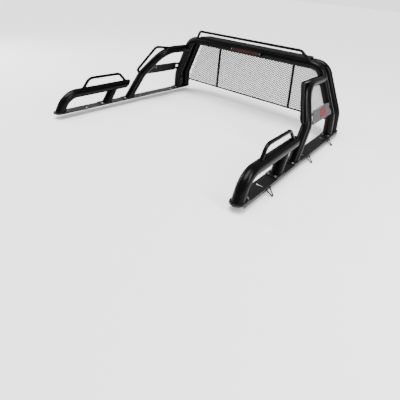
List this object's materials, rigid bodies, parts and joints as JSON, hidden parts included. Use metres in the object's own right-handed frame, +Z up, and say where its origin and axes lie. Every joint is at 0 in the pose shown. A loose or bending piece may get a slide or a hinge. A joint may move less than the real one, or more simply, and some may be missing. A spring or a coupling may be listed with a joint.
{
  "type": "headache rack",
  "caption": "Pickup bed headache rack: twin-tube hoop with mesh screen, step deck and brake light, side arms and handled bed bars on slotted bed-rail plates.",
  "frame": {"origin": "on the plane of symmetry, halfway along the base plates, level with the tips of the tie-down hooks", "axes": "+X to the truck's right, +Y forward towards the cab, +Z up"},
  "size_m": [1.9202, 1.6058, 0.7327],
  "materials": {
    "frame_paint": "gloss powder coat",
    "plate_paint": "satin powder coat",
    "side_plate_paint": "satin grey coat",
    "mesh_paint": "satin powder coat",
    "rail_rubber": "matte",
    "cap_plastic": "fine grain",
    "deck_paint": "satin powder coat",
    "tread_rubber": "matte",
    "zinc_bolt": "zinc plated",
    "light_shell": "moulded",
    "light_lens": "clear red",
    "light_board": "circuit board",
    "light_led": "clear",
    "badge_red": "printed film"
  },
  "bodies": {
    "root": {"arm_foot_left": "plate_paint", "arm_foot_right": "plate_paint", "arm_handle_left": "frame_paint", "arm_handle_right": "frame_paint", "bar_end_cap_left": "cap_plastic", "bar_end_cap_right": "cap_plastic", "bar_foot_left": "plate_paint", "bar_foot_right": "plate_paint", "bar_handle_left": "frame_paint", "bar_handle_right": "frame_paint", "bar_strut_left": "frame_paint", "bar_strut_right": "frame_paint", "base_plate_left": "plate_paint", "base_plate_right": "plate_paint", "bed_bar_left": "frame_paint", "bed_bar_right": "frame_paint", "brake_light_board": "light_board", "brake_light_gasket": "rail_rubber", "brake_light_housing": "light_shell", "brake_light_leds": "light_led", "brake_light_lens": "light_lens", "brake_light_screws": "zinc_bolt", "deck_brackets": "plate_paint", "deck_cap_left": "cap_plastic", "deck_cap_right": "cap_plastic", "deck_treads": "tread_rubber", "foot_bolts_left": "zinc_bolt", "foot_bolts_right": "zinc_bolt", "hoop_foot_left": "plate_paint", "hoop_foot_right": "plate_paint", "hoop_front_tube": "frame_paint", "hoop_rear_tube": "frame_paint", "hoop_web_left": "frame_paint", "hoop_web_right": "frame_paint", "luggage_rail": "frame_paint", "mesh_bottom_bar": "mesh_paint", "mesh_panel": "mesh_paint", "mesh_upright_left": "mesh_paint", "mesh_upright_right": "mesh_paint", "rail_flange_left": "plate_paint", "rail_flange_right": "plate_paint", "rail_gasket_left": "rail_rubber", "rail_gasket_right": "rail_rubber", "side_arm_left": "frame_paint", "side_arm_right": "frame_paint", "side_badge_left": "badge_red", "side_badge_right": "badge_red", "side_bolts_left": "zinc_bolt", "side_bolts_right": "zinc_bolt", "side_plate_left": "side_plate_paint", "side_plate_right": "side_plate_paint", "side_tabs_left": "plate_paint", "side_tabs_right": "plate_paint", "step_deck": "deck_paint", "strut_foot_left": "plate_paint", "strut_foot_right": "plate_paint", "tie_hooks_left": "plate_paint", "tie_hooks_right": "plate_paint"}
  },
  "joints": []
}
